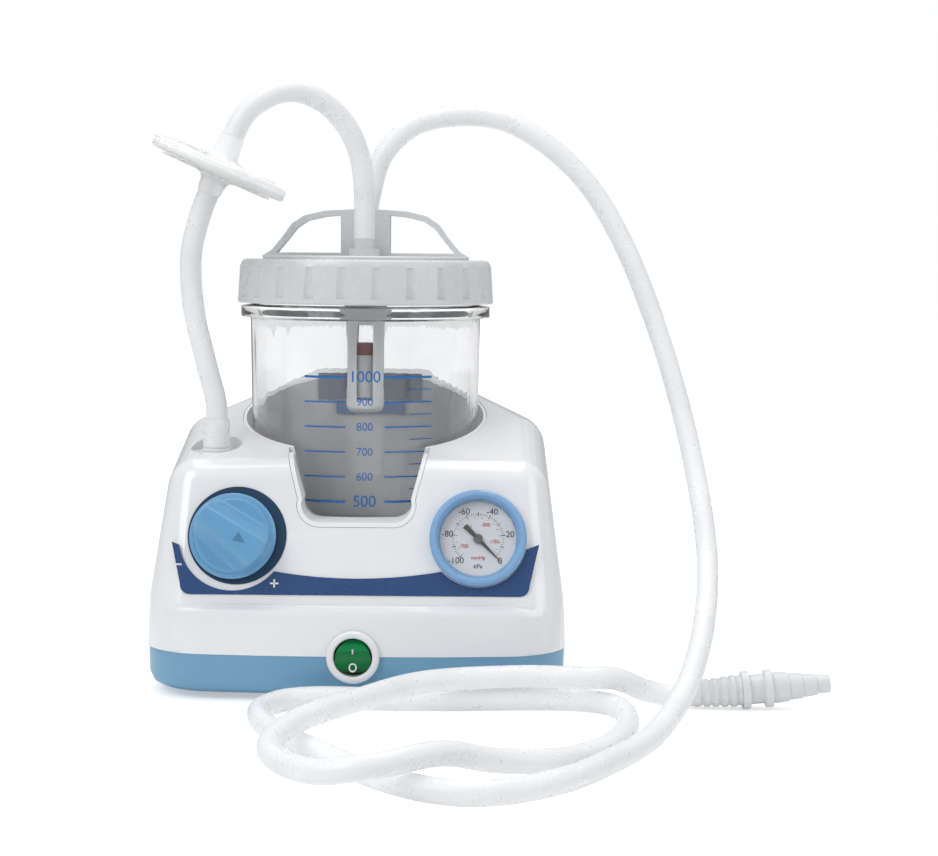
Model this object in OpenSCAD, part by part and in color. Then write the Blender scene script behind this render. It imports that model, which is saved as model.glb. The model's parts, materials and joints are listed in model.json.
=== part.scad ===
// Portable surgical suction pump: a moulded housing with a diaphragm pump inside,
// a lift-out collection jar, a vacuum gauge, a regulator knob and silicone tubing.
// The unit faces -Y and stands on Z = 0; the jar's axis is the Z axis.

/* [Housing] */
// Overall width of the housing at the parting line
body_w = 194; // [186:1:204]
// Distance from the jar axis to the front of the bumper
front_y = 98.6; // [96:0.2:102]
// Distance from the jar axis to the rear wall
rear_y = 100.3; // [99:0.1:101]
// Height of the parting line between base and cover
seam_z = 21.3; // [19:0.1:23]
// Height of the underside of the base above the table
base_z = 3; // [2:0.5:6]
// Wall thickness of the mouldings
wall = 3; // [2.5:0.1:3.5]
// Backward lean of the front panel in degrees
panel_tilt = 16.8; // [15:0.1:19]

/* [Controls] */
// Distance of knob and gauge from the centre line
dial_x = 56; // [54:0.5:58]
// Diameter of the regulator knob
knob_d = 39.6; // [36:0.2:42]
// Diameter of the gauge bezel
gauge_d = 44.4; // [42:0.2:46]
// Diameter of the switch ring
switch_d = 24; // [22:0.5:26]
// Diameter of the rocker
rocker_d = 16.4; // [14:0.2:17]

/* [Jar] */
// Outer radius of the jar under its flange
jar_r = 56.5; // [56:0.1:57]
// Wall thickness of the jar
jar_wall = 2; // [1.5:0.1:2.2]
// Radius of the well that holds the jar
well_r = 58.5; // [58:0.1:59]
// Number of grip grooves round the screw ring
ring_grooves = 24; // [18:1:30]

/* [Tubing] */
// Outer diameter of the silicone tubing
tube_d = 10; // [9:0.2:10]
// Diameter of the disc filter
filter_d = 66; // [60:1:68]
// Tilt of the disc filter in degrees
filter_tilt = 23.6; // [20:0.1:28]

/* [Hidden] */
$fn = 64;
half_w = body_w / 2;
panel_y = -80.7;
panel_z = 73;
well_floor = 24;
jar_bottom = well_floor + 0.3;
flange_z = 172;
neck_top = 196;
lid_z = 198;
disc_top = 201.5;
spigot_y = 16;
port = [-68, -45, 109];
filter_at = [-66.5, -45, 242];
tip_at = [153, -102, 6.6];
tip_rise = 4.9;
tip_r = 4.1;
tip_end = 61.6;
tip_pin_from = 55.6;
motor_y = 80;
motor_z = 52;
crank = 3;
pump_x = -52;
bearing_x = [-20, 22];
boss_h = 15.1;
rotor_gap = 0.5;
inlet_x = 54;
pump_deep = 32;

// Route of the hose from the lid to the filter
upper_route = [
    [0, -16, 210], [0, -16, 219], [0, -16, 228], [-0.5, -17, 238], [-2, -18, 248],
    [-5, -20, 257], [-10, -23, 265.5], [-17, -27, 272.5], [-25, -31, 277],
    [-33, -35, 278.5], [-41, -38.5, 277], [-48, -41.5, 273], [-53.5, -43.5, 268.3],
    [-57.2, -44.7, 262.8],
    [filter_at[0] + 16 * sin(filter_tilt), -45, filter_at[2] + 16 * cos(filter_tilt)]];

// Route of the hose from the filter down to the housing
lower_route = [
    [filter_at[0] - 13 * sin(filter_tilt), -45, filter_at[2] - 13 * cos(filter_tilt)],
    [-74.5, -45, 223], [-77, -45, 215], [-79, -45, 207], [-80, -45, 199], [-80, -45, 191],
    [-79.5, -45, 183], [-78.5, -45, 175], [-77, -45, 167], [-75, -45, 159], [-73, -45, 151],
    [-71, -45, 143], [-69, -45, 136], [-68, -45, 130], [-68, -45, 124.1]];

// Route of the patient hose from the lid, over the side and round on the table
patient_route = [
    [0, 16, 210], [1, 16, 230], [9, 17, 254], [30, 22, 269.5], [68, 24.5, 269.5],
    [103, 21, 246], [127, 14, 210], [147, 1, 158], [160, -24, 104], [163, -66, 58],
    [152, -122, 26], [131, -180, 9], [105, -225, 5.3], [80, -257, 5.3],
    [52, -269, 5.3], [23, -252, 5.3], [-9, -207, 5.3], [-33, -163, 5.3], [-37, -131, 5.3],
    [-19, -111, 5.3], [30, -113.5, 5.3], [88, -109.5, 5.3], [115, -120, 5.3],
    [120, -152, 5.3], [111, -191, 5.4], [91, -219, 5.8], [64, -235, 9], [42, -254, 16.4],
    [19, -269, 15.4], [-6, -263, 11.5], [-24, -236, 12.6], [-17, -205, 16.2], [5, -165, 16.2],
    [33, -127, 16.2], [74, -114, 16.3], [102, -119.5, 17], [117, -115.5, 16],
    [131, -105.2, 8.8], [142, -102.2, 6.1], [tip_at[0] - 0.7, tip_at[1], tip_at[2]]];

// ---- shared shapes ----

// Corner arc of an outline, as points
function arc(c, r, a0, a1, n = 10) =
    [for (i = [0:n]) let (a = a0 + (a1 - a0) * i / n) [c[0] + r * cos(a), c[1] + r * sin(a)]];

// Plan of the housing: rounded corners, and a front that bulges towards its middle
function plan(inset, front, r, bulge) =
    let (w = half_w - inset, f = -front + inset, b = rear_y - inset, k = r - inset * 0.6)
    concat(
        arc([w - k, b - k], k, 0, 90),
        arc([-w + k, b - k], k, 90, 180),
        arc([-w + k, f + k + bulge], k, 180, 264),
        [for (i = [-4:4]) let (x = i * w / 9) [x, f + bulge * pow(x / w, 2) * 1.6]],
        arc([w - k, f + k + bulge], k, 276, 360));

module slice(z, inset, front, r = 30, bulge = 3.5) {
    translate([0, 0, z]) linear_extrude(0.05) polygon(plan(inset, front, r, bulge));
}

// A ball that rounds a shoulder of the cover
module ball(x, y, top, r) {
    translate([x, y, top - r]) sphere(r, $fn = 32);
}

// Lower, projecting band of the cover; d shrinks it to make the inside
module bumper(d) {
    hull() {
        slice(seam_z - (d > 0 ? 1 : 0), d, front_y);
        slice(38 - d, d + 0.3, front_y);
        slice(41.6 - d, d + 1.6, front_y);
        slice(43.5 - d, d + 5, front_y);
    }
}

// Sloping upper body; d shrinks it to make the inside
module upper_form(d) {
    hull() {
        slice(22, d + 0.6, front_y - 4, 22, 0.8);
        slice(44, d + 1, front_y - 7, 22, 0.8);
        for (s = [-1, 1]) {
            ball(s * 74, -57.5, 108 - d, 15 - d);
            ball(s * 74, 2, 122.5 - d, 15 - d);
            ball(s * 74, rear_y - 18, 118 - d, 18 - d);
            ball(s * 24, rear_y - 30, 142.5 - d, 18 - d);
        }
        ball(0, -59.5, 110.5 - d, 15 - d);
    }
}

// Places children on the front panel: local Z points out of the panel
module on_panel(x, v = 0) {
    translate([x, panel_y, panel_z]) rotate([90 - panel_tilt, 0, 0]) translate([0, v, 0]) children();
}

// Everything in front of the panel plane, above the bumper
module panel_cut() {
    on_panel(0) translate([-half_w, -30, 0]) cube([body_w, 75, 40]);
}

// Window that shows the jar above the panel, as a front view outline
module window_outline(grow) {
    polygon(concat(
        [[31 + grow, 112], [25 + grow, 90]],
        arc([17, 88], 8.4 + grow, 0, -90, 8),
        arc([-17, 88], 8.4 + grow, 270, 180, 8),
        [[-25 - grow, 90], [-31 - grow, 112], [-34 - grow, 160], [34 + grow, 160]]));
}

module window(grow, reach) {
    rotate([90, 0, 0]) linear_extrude(reach) window_outline(grow);
}

// Round solid swept along a smooth curve through the points of a route
function spline(p0, p1, p2, p3, t) =
    0.5 * (2 * p1 + (p2 - p0) * t + (2 * p0 - 5 * p1 + 4 * p2 - p3) * t * t
        + (3 * p1 - p0 - 3 * p2 + p3) * t * t * t);
function at(pts, i) = pts[max(0, min(len(pts) - 1, i))];
function smooth(pts, steps) = concat(
    [for (i = [0:len(pts) - 2]) for (j = [0:steps - 1])
        spline(at(pts, i - 1), pts[i], pts[i + 1], at(pts, i + 2), j / steps)],
    [pts[len(pts) - 1]]);
function unit(v) = v / norm(v);
function heading(pts, i) = unit(at(pts, i + 1) - at(pts, i - 1));
function side(t) = unit(cross(t, abs(t[1]) < 0.9 ? [0, 1, 0] : [1, 0, 0]));
function carry(s, t) = unit(s - (s * t) * t);
function sides(pts, i, s, out) =
    i >= len(pts) ? out : let (n = carry(s, heading(pts, i))) sides(pts, i + 1, n, concat(out, [n]));

module sweep(pts, r, n) {
    m = len(pts);
    first = side(heading(pts, 0));
    nrm = sides(pts, 0, first, []);
    ring = [for (i = [0:m - 1]) let (t = heading(pts, i), b = cross(t, nrm[i]))
        for (k = [0:n - 1]) pts[i] + r * (cos(360 * k / n) * nrm[i] + sin(360 * k / n) * b)];
    faces = concat(
        [[for (k = [0:n - 1]) k]],
        [[for (k = [0:n - 1]) (m - 1) * n + n - 1 - k]],
        [for (i = [0:m - 2]) for (k = [0:n - 1])
            let (a = i * n + k, b = i * n + (k + 1) % n) [a, a + n, b + n]],
        [for (i = [0:m - 2]) for (k = [0:n - 1])
            let (a = i * n + k, b = i * n + (k + 1) % n) [a, b + n, b]]);
    polyhedron(ring, faces, convexity = 10);
}

// ---- housing ----

module base_shell() {
    color("steelblue") difference() {
        hull() {
            slice(seam_z - 0.05, 0.2, front_y);
            slice(base_z + 6, 0.6, front_y);
            slice(base_z + 2, 2.2, front_y);
            slice(base_z, 5.5, front_y);
        }
        translate([0, 0, base_z + wall])
            linear_extrude(seam_z) polygon(plan(wall + 3.2, front_y, 30, 3.5));
        switch_bore();
        for (p = screw_places) translate([p[0], p[1], base_z - 1]) {
            cylinder(r = 1.8, h = 9);
            cylinder(r = 3.6, h = 2.8);
        }
        for (i = [-4:4]) translate([i * 9 - 1.5, 18, base_z - 1]) cube([3, 40, 8]);
    }
    color("steelblue") for (p = screw_places) translate([p[0], p[1], base_z + wall])
        difference() {
            cylinder(r = 5, h = boss_h);
            translate([0, 0, -1]) cylinder(r = 1.8, h = 20);
        }
}

screw_places = [[-80, -58], [80, -58], [-78, 82], [78, 82]];
foot_places = [[-66, -62], [66, -62], [-72, 64], [72, 64]];

module switch_bore() {
    translate([0, -60, seam_z]) rotate([90, 0, 0]) cylinder(r = switch_d / 2 - 1.6, h = 60);
}

module upper_shell() {
    color("white") difference() {
        union() {
            bumper(0);
            difference() {
                upper_form(0);
                panel_cut();
            }
        }
        bumper(wall);
        upper_form(wall);
        cylinder(r = well_r + 1.7, h = 200);
        window(2.2, 120);
        on_panel(-dial_x) cylinder(r = 6, h = 30, center = true);
        on_panel(dial_x) cylinder(r = gauge_d / 2 - 3, h = 30, center = true);
        switch_bore();
        translate(port) cylinder(r = 12, h = 30);
        translate([port[0], port[1], port[2] - 20]) cylinder(r = 4.2, h = 30);
        translate([inlet_x, rear_y, 44]) cube([28.4, 12, 22.4], center = true);
        for (i = [0:6]) translate([-62 + i * 8, rear_y, 70]) cube([3.4, 12, 36], center = true);
        for (p = screw_places) translate([p[0], p[1], 10]) cylinder(r = 1.75, h = 20);
    }
    // Posts that take the screws from below
    color("white") difference() {
        intersection() {
            upper_form(1.2);
            for (p = screw_places) translate([p[0], p[1], seam_z]) cylinder(r = 4.5, h = 140);
        }
        for (p = screw_places) translate([p[0], p[1], 10]) cylinder(r = 1.75, h = 32);
    }
    // Cup of the recess round the filter port
    color("white") difference() {
        intersection() {
            upper_form(0.6);
            translate([port[0], port[1], port[2] - 2.5]) cylinder(r = 14.5, h = 60);
        }
        translate(port) cylinder(r = 12, h = 60);
        translate([port[0], port[1], port[2] - 10]) cylinder(r = 4.2, h = 30);
    }
}

module jar_well() {
    color("gray") difference() {
        intersection() {
            union() {
                translate([0, 0, well_floor - 2.5]) cylinder(r = well_r + 1.5, h = 160);
                intersection() {
                    window(2, 120);
                    translate([-60, -120, 70]) cube([120, 62, 90]);
                }
            }
            union() {
                difference() {
                    upper_form(0.2);
                    panel_cut();
                }
                translate([0, 0, 10]) cylinder(r = well_r + 1.5, h = 40);
            }
        }
        translate([0, 0, well_floor]) cylinder(r = well_r, h = 160);
        window(0, 120);
    }
}

module front_decal() {
    r_top = 224;
    low = -26.6;
    color("midnightblue") on_panel(0) linear_extrude(0.5) difference() {
        polygon(concat(
            [[84, -2.5], [79.6, low + 5]],
            arc([75, low + 4.6], 4.6, 0, -90, 5),
            arc([-75, low + 4.6], 4.6, 270, 180, 5),
            [[-79.6, low + 5], [-84, -2.5]],
            [for (i = [-9:9]) let (x = i * 8.6) [x, -18.9 + r_top - sqrt(r_top * r_top - x * x)]]));
        translate([-dial_x, 0]) circle(r = 24.8);
        translate([dial_x, 0]) circle(r = gauge_d / 2 + 0.4);
    }
}

module feet() {
    color("dimgray") for (p = foot_places) translate([p[0], p[1], 0]) {
        rotate_extrude() polygon([[0, 0], [7, 0], [8, 0.8], [8, base_z], [0, base_z]]);
    }
}

module shell_screws() {
    color("silver") for (p = screw_places) translate([p[0], p[1], base_z + 0.2]) {
        cylinder(r = 1.7, h = 28);
        cylinder(r = 3.2, h = 1.4);
    }
}

// ---- switch ----

module at_switch() {
    translate([0, -front_y - 0.2, seam_z]) rotate([90, 0, 0]) children();
}

module switch_ring() {
    color("whitesmoke") at_switch() rotate_extrude() polygon([
        [rocker_d / 2 + 0.5, -14], [switch_d / 2 - 1.8, -14], [switch_d / 2 - 1.8, 0],
        [switch_d / 2, 0], [switch_d / 2, 1.6], [switch_d / 2 - 1, 2.6],
        [rocker_d / 2 + 1.3, 2.6], [rocker_d / 2 + 0.5, 1.8]]);
}

module switch_body() {
    color("black") at_switch() translate([0, 0, -14]) difference() {
        translate([0, 0, -14]) cylinder(r = switch_d / 2 - 1.9, h = 14);
        translate([0, 0, -3]) cylinder(r = rocker_d / 2 + 0.5, h = 4);
    }
    color("gold") at_switch() for (x = [-5, 5]) for (y = [-3, 3])
        translate([x - 0.4, y - 2, -36]) cube([0.8, 4, 8]);
}

// The rocker turns about a line across the switch, 5 mm behind its face; its foot is pressed in
rocker_rest = 7;
module rocker() {
    color("green") at_switch() translate([0, 0, -5]) rotate([rocker_rest, 0, 0]) intersection() {
        translate([0, 0, -6]) cylinder(r = rocker_d / 2, h = 15);
        difference() {
            rotate([0, 90, 0]) cylinder(r = 8.4, h = 30, center = true);
            translate([0, 0, 15.4]) rotate([0, 90, 0]) cylinder(r = 9, h = 30, center = true);
        }
    }
}

// ---- regulator ----

module knob_scale() {
    color("midnightblue") on_panel(-dial_x) linear_extrude(0.5) difference() {
        translate([1.8, 0.6]) circle(r = 22.6);
        circle(r = knob_d / 2 - 3);
    }
}

module regulator_valve() {
    color("goldenrod") on_panel(-dial_x) {
        difference() {
            union() {
                translate([0, 0, -28]) cylinder(r = 9, h = 23.6);
                translate([0, 0, -4.5]) cylinder(r = 5.8, h = 5.4);
            }
            translate([0, 0, -15]) cylinder(r = 3.05, h = 20);
        }
        translate([8.5, 0, -20]) rotate([0, 90, 0]) cylinder(r = 3, h = 9);
        translate([0, 0, -34]) cylinder(r = 3, h = 6.2);
    }
}

module knob() {
    color("lightskyblue") on_panel(-dial_x) {
        difference() {
            union() {
                translate([0, 0, 1.2]) cylinder(r = knob_d / 2, h = 2.2);
                translate([0, 0, 3.4]) cylinder(r1 = knob_d / 2 - 1.2, r2 = knob_d / 2 - 2.6, h = 10.6);
            }
            // Two scooped sides leave a ridge that points up and to the left
            for (s = [-1, 1]) rotate([0, 0, -36]) translate([0, s * 22.5, 20])
                rotate([0, 90, 0]) cylinder(r = 15, h = 60, center = true);
            translate([0, 0, 1]) cylinder(r = 7, h = 2.6);
            rotate([0, 0, -36]) translate([5.4, 0, 13.4]) linear_extrude(1)
                polygon([[2.6, 0], [-2.2, 2], [-2.2, -2]]);
        }
        translate([0, 0, -12]) cylinder(r = 3, h = 16);
    }
}

// ---- gauge ----

module gauge_bezel() {
    color("cornflowerblue") on_panel(dial_x) rotate_extrude() polygon([
        [gauge_d / 2 - 4.6, -2.2], [gauge_d / 2 - 3.2, -2.2], [gauge_d / 2 - 3.2, 0.1],
        [gauge_d / 2, 0.1], [gauge_d / 2, 3.4], [gauge_d / 2 - 1.2, 4.8],
        [gauge_d / 2 - 2.6, 4.8], [gauge_d / 2 - 4.6, 1.6]]);
}

module gauge_case() {
    color("dimgray") on_panel(dial_x) rotate_extrude() polygon([
        [0, -24], [15, -24], [16.5, -22.5], [16.5, -2.4], [15, -2.4], [15, -21.5], [0, -21.5]]);
    color("goldenrod") on_panel(dial_x) translate([0, 0, -31]) cylinder(r = 3, h = 7);
}

module gauge_dial() {
    color("white") on_panel(dial_x) translate([0, 0, -2.2]) linear_extrude(0.8) difference() {
        circle(r = gauge_d / 2 - 4.7);
        circle(r = 1.2);
    }
}

module gauge_glass() {
    color("aliceblue", 0.3) on_panel(dial_x) translate([0, 0, 1.7]) cylinder(r = gauge_d / 2 - 4.7, h = 1);
}

module gauge_movement() {
    color("gold") on_panel(dial_x) {
        translate([0, 0, -14]) difference() {
            cylinder(r = 11, h = 4);
            translate([0, 0, -1]) cylinder(r = 8.2, h = 6);
            translate([0, -14, -1]) cube([14, 14, 6]);
        }
        translate([-6, -2, -20]) cube([12, 1.6, 14]);
        translate([-3, -3, -21.4]) cube([6, 3, 1.5]);
    }
}

// Needle turned to zero, at the lower right; the spindle runs through the dial
needle_zero = -45;
module gauge_needle() {
    color("black") on_panel(dial_x) rotate([0, 0, needle_zero]) {
        translate([0, 0, -0.9]) linear_extrude(0.6)
            polygon([[-8.5, -1.1], [-8.5, 1.1], [0, 0.9], [14.6, 0.15], [14.6, -0.15], [0, -0.9]]);
        translate([0, 0, -0.9]) cylinder(r = 2.2, h = 1.2);
        translate([0, 0, -6]) cylinder(r = 0.8, h = 5.5);
    }
}

// ---- ports and mains ----

module inlet_spigot() {
    color("white") translate([port[0], port[1], port[2]]) difference() {
        union() {
            translate([0, 0, -14]) cylinder(r = 4, h = 14);
            cylinder(r = 7, h = 1.5);
            cylinder(r = 3.4, h = 12);
        }
        translate([0, 0, -15]) cylinder(r = 1.6, h = 30);
    }
}

module mains_inlet() {
    color("black") translate([inlet_x, rear_y, 44]) difference() {
        union() {
            translate([-14, -20, -11]) cube([28, 20, 22]);
            translate([-18, 0, -14]) cube([36, 2, 28]);
        }
        translate([-11.5, -15, -4]) cube([23, 18, 13]);
        translate([-11, -17, -10.2]) cube([22, 20, 5]);
    }
    color("silver") for (x = [-7, 0, 7]) translate([inlet_x + x - 1, rear_y - 16, 46.5]) cube([2, 13, 4]);
}

module fuse_drawer() {
    color("dimgray") translate([inlet_x, rear_y, 44]) difference() {
        translate([-10.7, -16, -9.9]) cube([21.4, 18.6, 4.4]);
        translate([-8.2, -13, -9]) cube([16.4, 8, 5]);
    }
}

module fuse() {
    color("silver") translate([inlet_x - 7.5, rear_y - 9, 36.8]) rotate([0, 90, 0]) cylinder(r = 1.5, h = 15);
}

// ---- motor and pump ----

module along_x(x, r, h) {
    translate([x, motor_y, motor_z]) rotate([0, 90, 0]) cylinder(r = r, h = h);
}

module motor_stator() {
    color("slategray") difference() {
        translate([-8, motor_y - 15, motor_z - 22]) cube([22, 30, 56]);
        along_x(-9, 12 + rotor_gap, 26);
        translate([-9, motor_y - 9, motor_z + 19]) cube([26, 18, 10]);
    }
}

module motor_coil() {
    color("peru") difference() {
        translate([-12, motor_y - 8.8, motor_z + 19.2]) cube([30, 17.6, 9.6]);
        translate([-9, motor_y - 4, motor_z + 18]) cube([24, 8, 12]);
    }
}

module motor_brackets() {
    color("silver") for (x = bearing_x) difference() {
        translate([x, motor_y - 15, motor_z - 24]) cube([3, 30, 40]);
        along_x(x - 1, 6, 5);
    }
    color("silver") for (y = [-14, 11]) {
        translate([bearing_x[0] + 3, motor_y + y, motor_z - 21]) cube([-11 - bearing_x[0], 3, 3]);
        translate([14, motor_y + y, motor_z - 21]) cube([bearing_x[1] - 14, 3, 3]);
    }
}

module bearings() {
    color("gold") for (x = bearing_x) difference() {
        along_x(x, 5.95, 3);
        along_x(x - 1, 3.05, 5);
    }
}

module rotor_core() {
    color("darkgray") difference() {
        along_x(-10, 12, 26);
        along_x(-11, 3, 30);
    }
}

module rotor_shaft() {
    color("silver") along_x(pump_x - 4, 3, 91);
}

module fan() {
    color("black") difference() {
        along_x(27, 7, 7);
        along_x(26, 3, 11);
    }
    color("black") for (i = [0:6]) translate([27, motor_y, motor_z]) rotate([i * 360 / 7, 0, 0])
        translate([0.5, -0.7, 6.6]) cube([6, 1.4, 8]);
}

module eccentric() {
    color("dimgray") difference() {
        union() {
            along_x(pump_x + 6, 9, 4);
            translate([pump_x - 5, motor_y, motor_z + crank]) rotate([0, 90, 0]) cylinder(r = 6.5, h = 11);
        }
        along_x(pump_x - 6, 3, 20);
    }
}

module connecting_rod() {
    color("lightgray") difference() {
        union() {
            translate([pump_x - 5, motor_y, motor_z + crank]) rotate([0, 90, 0]) cylinder(r = 10.5, h = 9);
            translate([pump_x - 4, motor_y - 3, motor_z + crank + 8]) cube([7, 6, 24]);
            translate([pump_x - 0.5, motor_y, motor_z + crank + 31]) cylinder(r = 8, h = 3);
        }
        translate([pump_x - 6, motor_y, motor_z + crank]) rotate([0, 90, 0]) cylinder(r = 6.55, h = 20);
    }
}

module pump_frame() {
    color("slategray") difference() {
        translate([pump_x - 17, motor_y - pump_deep / 2, motor_z - 24]) cube([34, pump_deep, 50]);
        translate([pump_x - 14, motor_y - 19, motor_z - 18]) cube([25, 38, 60]);
        along_x(pump_x + 10, 6, 10);
    }
    color("gold") difference() {
        along_x(pump_x + 11, 5.95, 6);
        along_x(pump_x + 10, 3.05, 8);
    }
}

module cylinder_block() {
    color("silver") translate([pump_x, motor_y, motor_z + 26]) difference() {
        translate([-17, -pump_deep / 2, 0]) cube([34, pump_deep, 8]);
        translate([0, 0, -1]) cylinder(r = 13, h = 10);
    }
}

module diaphragm() {
    color("dimgray") translate([pump_x, motor_y, motor_z + 34]) difference() {
        translate([-17, -pump_deep / 2, 0]) cube([34, pump_deep, 1.2]);
        translate([0, 0, -1]) cylinder(r = 12.2, h = 4);
    }
}

module valve_plate() {
    color("silver") translate([pump_x, motor_y, motor_z + 35.2]) difference() {
        translate([-17, -pump_deep / 2, 0]) cube([34, pump_deep, 8]);
        translate([0, 0, -1]) cylinder(r = 12.2, h = 7);
        for (y = [-6, 6]) translate([0, y, -1]) cylinder(r = 1.5, h = 12);
    }
}

module pump_head() {
    color("lightgray") translate([pump_x, motor_y, motor_z + 43.2]) difference() {
        union() {
            translate([-17, -pump_deep / 2, 0]) cube([34, pump_deep, 9]);
            translate([-26, -6, 4.5]) rotate([0, 90, 0]) cylinder(r = 3, h = 14);
            translate([12, 6, 4.5]) rotate([0, 90, 0]) cylinder(r = 3, h = 14);
        }
        for (y = [-10, 2]) translate([-9, y, -1]) cube([18, 8, 6]);
        translate([-27, -6, 4.5]) rotate([0, 90, 0]) cylinder(r = 1.4, h = 27);
        translate([0, 6, 4.5]) rotate([0, 90, 0]) cylinder(r = 1.4, h = 30);
    }
}

module head_screws() {
    color("silver") for (x = [-13.5, 13.5]) for (y = [-12.6, 12.6])
        translate([pump_x + x, motor_y + y, motor_z + 52.2]) difference() {
            cylinder(r = 2.8, h = 2.4);
            translate([0, 0, 1.2]) cylinder(r = 1.4, h = 2, $fn = 6);
        }
}

module rubber_mounts() {
    places = [[-63, 71], [-41, 71], [-63, 88], [-41, 88], [-18.5, 80], [23.5, 80]];
    color("black") for (p = places) translate([p[0], p[1], base_z + wall])
        cylinder(r = 5, h = motor_z - 24 - base_z - wall);
}

module muffler() {
    color("whitesmoke") translate([-6, 86, 99.7]) rotate([0, 90, 0]) difference() {
        cylinder(r = 8, h = 26);
        translate([0, 0, -1]) cylinder(r = 1.6, h = 8);
    }
}

// Hose inside the housing, between two stubs
module inner_hose(points) {
    color("lightyellow") sweep(smooth(points, 2), 4, 8);
}

module hose_regulator() {
    inner_hose([[port[0], port[1], 94.8], [-68, -44, 88], [-71, -32, 80], [-77, -8, 76],
        [-80, 20, 76], [-81, 45, 82], [-81, 60, 90], [-81, 68, 96], [-80.5, 73, 99],
        [pump_x - 26.2, 74, 99.7]]);
}

module hose_pump() {
    inner_hose([[pump_x + 26.2, 86, 99.7], [-19, 86, 99.7], [-12, 86, 99.7], [-6.2, 86, 99.7]]);
}

// ---- jar ----

module jar() {
    w = jar_wall;
    r0 = jar_r - 2.5;
    low = jar_bottom;
    color("azure", 0.4) rotate_extrude($fn = 96) polygon(concat(
        [[0, low + 1.2], [r0 - 16, low + 1.2], [r0 - 13, low]],
        arc([r0 - 10, low + 10], 10, -90, 0, 8),
        [[jar_r, flange_z - 1], [61, flange_z], [61, flange_z + 5], [55, flange_z + 6],
         [55, 183], [56, 184], [56, 185.4], [55, 186.4], [55, 190], [56, 191], [56, 192.4],
         [55, 193.4], [55, neck_top], [53, neck_top], [53, flange_z + 5],
         [jar_r - w, flange_z - 2]],
        arc([r0 - 10, low + 10 + w * 0.6], 10 - w, 0, -90, 8),
        [[0, low + 3]]));
}

module lid_ring() {
    color("gainsboro") difference() {
        rotate_extrude($fn = 96) polygon([
            [57, 178.6], [62.2, 178.6], [62.7, 179.4], [61.6, 196.6], [60.4, 199], [59, 199.8],
            [51.4, 199.8], [51.4, 198.4], [57, 198.4]]);
        for (i = [0:ring_grooves - 1]) rotate([0, 0, (i + 0.5) * 360 / ring_grooves])
            translate([64.2, 0, 181.5]) cylinder(r = 3.1, h = 14.5);
    }
}

// Side arm and top bar of the carrying handle, seen from the front
handle_outer = [[51, 201], [46, 204], [41, 210], [36, 217], [30, 221], [20, 223.4], [0, 224.5]];
handle_inner = [[12, 203], [43.5, 203], [38.5, 209], [34, 214.8], [28.5, 218.6], [20, 220.6], [12, 221.4]];
function flip(p) = [for (i = [len(p) - 1:-1:0]) [-p[i][0], p[i][1]]];

module lid_disc() {
    color("gainsboro") {
        difference() {
            union() {
                rotate_extrude($fn = 96) polygon([
                    [0, 195], [52.6, 195], [52.6, 196.6], [54.8, 196.6], [54.8, lid_z],
                    [50.9, lid_z], [50.4, 200.9], [49.8, disc_top], [0, disc_top]]);
                translate([0, 0, 177.2]) cylinder(r = 10.5, h = 18);
                for (y = [-spigot_y, spigot_y]) translate([0, y, 0]) {
                    translate([0, 0, disc_top - 0.5]) cylinder(r = 7.5, h = 4);
                    translate([0, 0, disc_top - 0.5]) cylinder(r = 4.9, h = 9);
                }
                translate([0, spigot_y, 186]) cylinder(r = 4.9, h = 12);
            }
            translate([0, 0, 170]) cylinder(r = 7.6, h = 27);
            translate([0, spigot_y, 180]) cylinder(r = 3, h = 40);
            translate([0, -spigot_y, 196.2]) cylinder(r = 3, h = 20);
            translate([0, 0, 196.2]) translate([-2, -spigot_y, -4]) cube([4, spigot_y, 4.6]);
        }
        difference() {
            translate([0, 7, 0]) rotate([90, 0, 0]) linear_extrude(14)
                polygon(concat(handle_outer, flip(handle_outer)));
            for (m = [0, 1]) mirror([m, 0, 0]) translate([0, 8, 0]) rotate([90, 0, 0])
                linear_extrude(16) polygon(handle_inner);
        }
    }
}

module lid_seal() {
    color("white") difference() {
        translate([0, 0, neck_top]) cylinder(r = 54.8, h = 0.6);
        translate([0, 0, neck_top - 1]) cylinder(r = 52.7, h = 3);
    }
}

module float_cage() {
    color("gainsboro") difference() {
        rotate_extrude() polygon(concat(
            [[0, 124.5]], arc([5.2, 128.5], 4, -90, 0, 6),
            [[9.2, 172.5], [12.8, 172.5], [12.8, 177], [7.6, 177], [7.6, 130.5], [0, 130.5]]));
        translate([-4.2, -20, 131]) cube([8.4, 40, 37]);
        translate([-20, -3, 136]) cube([40, 6, 26]);
    }
}

module valve_seat() {
    color("darkred") translate([0, 0, 169]) difference() {
        cylinder(r = 7.5, h = 7);
        translate([0, 0, -1]) cylinder(r = 2.5, h = 9);
    }
}

module float_body() {
    color("lightgray") rotate_extrude() polygon([
        [0, 131], [5.6, 131], [6.8, 132.4], [6.8, 153], [0, 153]]);
    color("darkred") translate([0, 0, 153]) cylinder(r = 6.4, h = 6);
}

// ---- filter and tubing ----

module at_filter() {
    translate(filter_at) rotate([0, filter_tilt, 0]) children();
}

module filter_half(reach) {
    r = filter_d / 2;
    rotate_extrude(convexity = 6) polygon([
        [1.8, 1.6], [r - 3, 1.3], [r - 3, 0.1], [r, 0.1], [r, 2], [r - 0.8, 2.8], [r - 4, 3],
        [r - 7, 2.9], [12, 4.2], [7.4, 5.2], [6.2, 7], [5.4, reach], [1.8, reach]]);
}

module filter_upper() {
    color("azure", 0.5) at_filter() filter_half(16);
}

module filter_lower() {
    color("azure", 0.5) at_filter() mirror([0, 0, 1]) filter_half(13);
}

module filter_membrane() {
    color("white") at_filter() translate([0, 0, -0.6]) cylinder(r = filter_d / 2 - 3.4, h = 1.2);
}

module filter_tube_upper() {
    color("white", 0.6) sweep(upper_route, tube_d / 2, 10);
}

module filter_tube_lower() {
    color("white", 0.6) sweep(lower_route, tube_d / 2, 10);
}

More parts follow.
